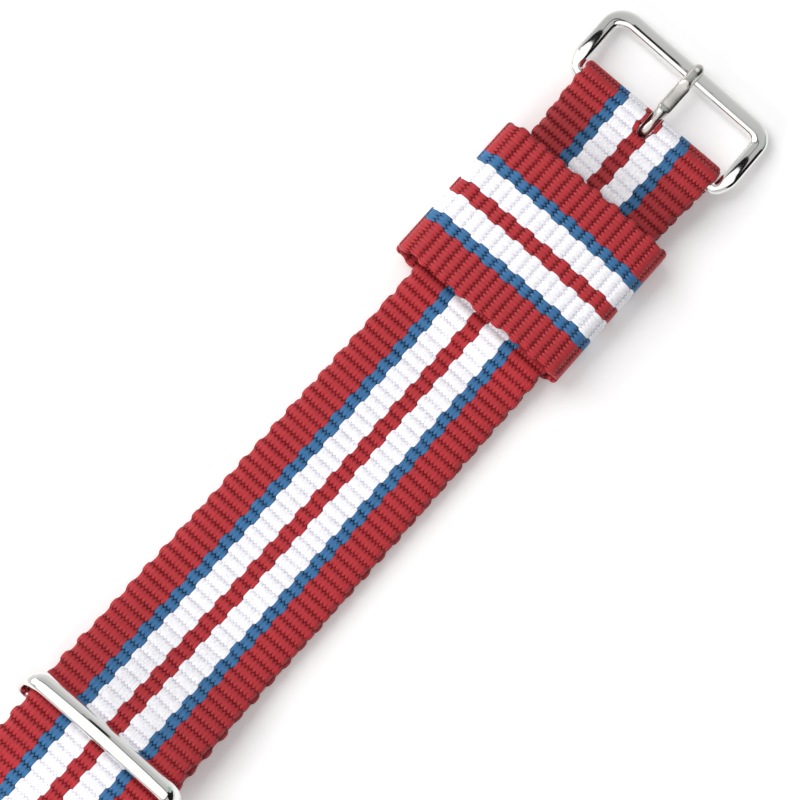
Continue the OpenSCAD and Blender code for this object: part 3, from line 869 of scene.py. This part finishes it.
def framePath():  # x, y and how far the wire has grown from the hinge bar
    w = wire
    halves = []
    for radius in w["outerRadius"]:
        half = [(0, y, 0) for y in np.linspace(0, w["hingeEnd"] - 0.3, 20)]
        for a in np.radians(np.linspace(0, 90, 40)):
            half.append((w["innerRun"] * (1 - math.cos(a)),
                         w["hingeEnd"] + (w["armY"] - w["hingeEnd"]) * math.sin(a),
                         float(ease((math.degrees(a) - w["growFrom"]) / (90 - w["growFrom"])))))
        for x in np.linspace(w["innerRun"], w["barX"] - radius, 12)[1:]:
            half.append((x, w["armY"], 1))
        for a in np.radians(np.linspace(0, 90, 40))[1:]:
            half.append((w["barX"] - radius * (1 - math.sin(a)),
                         w["armY"] - radius * (1 - math.cos(a)), 1))
        half.append((w["barX"], 0, 1))
        halves.append(half)
    other = [(x, -y, g) for x, y, g in reversed(halves[1][:-1])]
    return np.array(halves[0] + other)


def frameHeight(x):  # a cubic from the hinge bar down to the outer bar
    w = wire
    u = np.clip(x / w["barX"], 0, 1)
    bow = w["slopeIn"] * u * (u - 1) ** 2 + w["slopeOut"] * u ** 2 * (u - 1)
    return hingeZ + (w["barZ"] - hingeZ) * (3 * u ** 2 - 2 * u ** 3) + w["barX"] * bow


def evenLoop(path, rings):  # a closed path's columns at even steps along it
    loop, length = measured(np.vstack([path, path[:1]]))
    step = np.linspace(0, length[-1], rings + 1)[:-1]
    return [np.interp(step, length, column) for column in loop.T]


def outward(a, b):  # unit steps out of a closed path that runs anticlockwise
    da, db = np.roll(a, -1) - np.roll(a, 1), np.roll(b, -1) - np.roll(b, 1)
    size = np.hypot(da, db)
    return db / size, -da / size


def wireFrame():
    w = wire
    x, y, grown = evenLoop(framePath(), w["rings"])
    x, y, grown = smoothed(x, 5, "wrap"), smoothed(y, 5, "wrap"), smoothed(grown, 9, "wrap")
    outY, outX = outward(y, x)
    z = frameHeight(x)
    along = np.linspace(0, w["barX"], 200)
    slope = np.gradient(frameHeight(along), along)
    tilt = np.arctan(np.interp(x, along, slope)) * grown * outX
    start, end = w["barBlend"]
    atBar = np.clip(outX, 0, 1) * ease((x - start) / (end - start))
    shear = math.tan(math.radians(w["barTilt"])) * atBar
    r = w["hingeRadius"]
    halfWide = r + (w["width"] / 2 - r) * grown
    halfHigh = r + (w["height"] / 2 - r) * grown

    def place(i, j):
        a = 2 * math.pi * i / w["sides"]
        atEdge = np.where(np.cos(a) < 0, *w["barSquareness"])
        squareness = w["armSquareness"] + (atEdge - w["armSquareness"]) * atBar[j]
        power = 1 - (1 - squareness) * grown[j]
        wide = halfWide[j] + w["barInward"] * atBar[j] * (np.cos(a) < 0)
        c = squared(np.cos(a), power) * wide
        s = squared(np.sin(a), power) * halfHigh[j]
        fallBack = w["undercut"] * atBar[j] * (1 - s / halfHigh[j]) / 2
        inward = np.clip(-c / wide, 0, 1)
        s = s - shear[j] * c * (s > 0) * s / halfHigh[j]
        c = c + fallBack * inward
        flat = c * np.cos(tilt[j]) - s * np.sin(tilt[j])
        high = c * np.sin(tilt[j]) + s * np.cos(tilt[j])
        alongX, alongY = x[j] + outX[j] * flat, y[j] + outY[j] * flat
        return np.stack([hingeX + alongX - w["turned"] * alongY,
                         alongY + w["turned"] * alongX + w["aside"], z[j] + high], axis=1)

    return closedSweep("buckle_wire_frame", w["sides"], w["rings"], place)


buckleFrame = wireFrame()

# The ring keeper: a domed bar bent to a rounded rectangle, leaning towards the buckle
ring = {
    "barWidth": 2.6,
    "barThickness": 1.3,
    "squareness": 0.95,
    "doming": 0.10,  # how much its face falls to the edges
    "arch": 0.22,  # how much the top bar rises towards its highest place
    "archAside": -2.0,  # and how far from the middle that is
    "faceLean": (0.045, 0.055),  # slope of the top bar's face in the middle, and more outwards
    "splay": 0.03,  # how much wider it is at the bottom
    "halfWide": 11.05,
    "rise": 5.10,  # between the middles of its lower bar and its top bar
    "lowRadius": 1.3,
    "highRadius": 2.1,
    "lean": 14.0,
    "rings": 480,
    "sides": 40,
}


def ringPath():  # across the strap and up
    wide, rise, low, high = [ring[name] for name in ("halfWide", "rise", "lowRadius", "highRadius")]
    side = [*[(y, 0) for y in np.linspace(0, wide - low, 12)],
            *arcPoints((wide - low, low), low, -90, 0, 24),
            *arcPoints((wide - high, rise - high), high, 0, 90, 24), (0, rise)]
    return np.array(side + [(-y, z) for y, z in reversed(side[1:-1])])


def ringSweep():
    r = ring
    y, z = [smoothed(values, 5, "wrap") for values in evenLoop(ringPath(), r["rings"])]
    fromCrest = (y - r["archAside"]) / r["halfWide"]
    z = z + r["arch"] * ease(z / r["rise"]) * (1 - fromCrest ** 2)
    y = y * (1 + r["splay"] * np.clip(1 - z / r["rise"], 0, 1))
    outY, outZ = outward(y, z)
    onTop = ease((z / r["rise"] - 0.4) * 2.5)
    lean = math.radians(r["lean"])
    halfWide, halfThick = r["barWidth"] / 2, r["barThickness"] / 2

    def place(i, j):
        a = 2 * math.pi * i / r["sides"]
        across = squared(np.sin(a), r["squareness"]) * halfWide
        out = squared(np.cos(a), r["squareness"]) * halfThick
        faceLean = r["faceLean"][0] + r["faceLean"][1] * (y[j] / 8) ** 2
        sunk = r["doming"] * (across / halfWide) ** 2 + faceLean * across
        out = out - sunk * np.clip(out / halfThick, 0, 1) * onTop[j]
        py, pz = y[j] + outY[j] * out, z[j] + outZ[j] * out
        return np.stack([ringPlace.x + across * math.cos(lean) + pz * math.sin(lean), py,
                         ringZ - across * math.sin(lean) + pz * math.cos(lean)], axis=1)

    return closedSweep("ring_keeper_bar", r["sides"], r["rings"], place)


ringKeeper = ringSweep()

# The prong: a flat strip rolled round the hinge bar, pressed flat along its middle
prong = {
    "width": 1.75,
    "thickness": 0.9,
    "eyeWall": 0.55,
    "eyeInside": 0.80,  # radius of the eye's hole
    "eyeWidth": 0.84,  # of the shank's width, and how far that goes on
    "eyeBlend": (2.2, 3.8),
    "tipWidth": 0.88,
    "tipHeight": 1.10,  # of the shank's thickness, where it stays round
    "roundTop": 0.35,  # and how much its top rises more there
    "flatHeight": 0.84,  # and where it is pressed flat
    "pressed": (2.9, 7.0),  # between these places, from the hinge bar
    "blend": 0.6,  # length over which one form passes into the next
    "curlStart": -25.0,  # angle at which the rolled end stops, under the shank
    "crestX": 2.7,
    "elbowX": 7.2,
    "lean": 0.20,  # how much its top falls towards -Y, as a slope
    "rise": 0.05,  # of its crest over its eye
    "restZ": 2.42,  # height of its tip
    "elbowRise": 0.66,  # and of its elbow over that
    "tipX": 10.8,
    "tipRun": 1.1,  # its last, level stretch
    "sides": 32,
    "rings": 220,
}


def prongPath():
    p = prong
    eyeR = p["eyeInside"] + p["eyeWall"] / 2
    topZ = hingeZ + p["eyeInside"] + p["eyeWall"] - p["thickness"] / 2 + p["rise"]
    elbowZ = p["restZ"] + p["elbowRise"]
    start = math.radians(p["curlStart"])
    return [
        (eyeR * math.cos(start), hingeZ + eyeR * math.sin(start)),
        *arcPoints((0, hingeZ), eyeR, p["curlStart"], -270, 60),
        *stepPoints(0, hingeZ + eyeR, p["crestX"], topZ, 28),
        *stepPoints(p["crestX"], topZ, p["elbowX"], elbowZ, 30),
        *stepPoints(p["elbowX"], elbowZ, p["tipX"] - p["tipRun"], p["restZ"], 16),
        (p["tipX"], p["restZ"])]


def prongSweep():
    p = prong
    path, length = measured(prongPath())
    total = length[-1]
    step = np.linspace(0, total, p["rings"] + 1)
    x, z = [smoothed(np.interp(step, length, path[:, k]), 7, "reflect", reflect_type="odd")
            for k in (0, 1)]
    dx, dz = np.gradient(x, step), np.gradient(z, step)
    size = np.hypot(dx, dz)
    upX, upZ = -dz / size, dx / size
    early, onShank = step < total / 2, step > total / 3
    start, end = p["eyeBlend"]
    atEye = np.where(early, 1 - ease((x - start) / (end - start)), 0)
    start, end = p["pressed"]
    atTip = ease((x - end) / p["blend"])
    flat = ease((x - start) / p["blend"]) * (1 - atTip) * onShank
    fromTip = np.clip((total - step) / (p["width"] / 2), 0, 1)
    nose = np.sqrt(np.clip(1 - (1 - fromTip) ** 2, 0.0004, 1))
    narrowed = (1 - (1 - p["eyeWidth"]) * atEye) * (1 - (1 - p["tipWidth"]) * atTip)
    halfWide = p["width"] / 2 * nose * narrowed
    inEye = ((x < 0.0) | (z < hingeZ + 0.3)) & early
    halfHigh = smoothed(np.where(inEye, p["eyeWall"], p["thickness"]) / 2, 13)
    shape = 1 - (1 - p["flatHeight"]) * flat + (p["tipHeight"] - 1) * atTip
    halfHigh = halfHigh * shape * (0.35 + 0.65 * nose)
    power = 1.0 - 0.10 * flat + 0.20 * (1 - flat) * (1 - atTip) * onShank
    boost = smoothed(p["roundTop"] * (1 - flat) * onShank * nose, 9)
    lean = p["lean"] * onShank * ease((x - 1.5) / 2) * nose

    def place(i, j):
        a = 2 * math.pi * i / p["sides"]
        c, s = squared(np.cos(a), power[j]), squared(np.sin(a), power[j])
        y = c * halfWide[j]
        lift = s * halfHigh[j] * (1 + boost[j] * (s > 0)) + lean[j] * y * np.clip(s, 0, 1)
        placed = np.stack([hingeX + x[j] + upX[j] * lift, y, z[j] + upZ[j] * lift], axis=1)
        return placed, np.stack([step[j], y], axis=1)

    return rolledSkin("buckle_prong", p["sides"], p["rings"], place, angle=60)


buckleProng = prongSweep()


# Stainless steel. The wire was drawn, bent and polished: a bright mirror with faint wavering.
# The prong keeps the press tool's grain along its length, so it is softer than a mirror. That
# grain is drawn coarser than it is, so that it shows.
polished = {
    "name": "polished stainless steel",
    "colour": "#ececea",
    "pattern": 4 * mm,
    "stretch": 1.0,
    "haze": (0.03, 0.07),
    "depth": 0.12 * mm,
    "strength": 0.15,
}
satin = {
    "name": "satin stainless steel",
    "colour": "#cbc8c3",
    "pattern": 0.12 * mm,
    "stretch": 0.06,
    "haze": (0.16, 0.30),
    "depth": 0.01 * mm,
    "strength": 0.6,
}


def stainlessSteel(s):
    material, tree = newMaterial(s["name"])
    place = addNode(tree, "ShaderNodeTexCoord")
    stretched = addNode(tree, "ShaderNodeMapping",
                        {"Vector": place.outputs["Object"], "Scale": (s["stretch"], 1.0, 1.0)})
    pattern = addNode(tree, "ShaderNodeTexNoise",
                      {"Vector": stretched, "Scale": 1 / s["pattern"], "Detail": 2.0})
    haze = addNode(tree, "ShaderNodeMapRange",
                   {"Value": pattern, "To Min": s["haze"][0], "To Max": s["haze"][1]})
    bump = addNode(tree, "ShaderNodeBump",
                   {"Height": pattern, "Distance": s["depth"], "Strength": s["strength"]})
    shader = addNode(tree, "ShaderNodeBsdfPrincipled", {
        "Base Color": hexColour(s["colour"]), "Metallic": 1.0, "Roughness": haze, "Normal": bump})
    addNode(tree, "ShaderNodeOutputMaterial", {"Surface": shader})
    return material


mirrorSteel = stainlessSteel(polished)
satinSteel = stainlessSteel(satin)
for piece, finish, body, node, slot in (
        (ringKeeper, mirrorSteel, "ring", "ring_keeper", "polished_steel"),
        (buckleFrame, mirrorSteel, "buckle", "buckle_frame", "polished_steel"),
        (buckleProng, satinSteel, "tongue", "buckle_tongue", "satin_steel")):
    piece.data.materials.append(finish)
    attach(piece, body)
    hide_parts(node)
print("metal formed")

bpy.context.scene.view_settings.view_transform = "Standard"
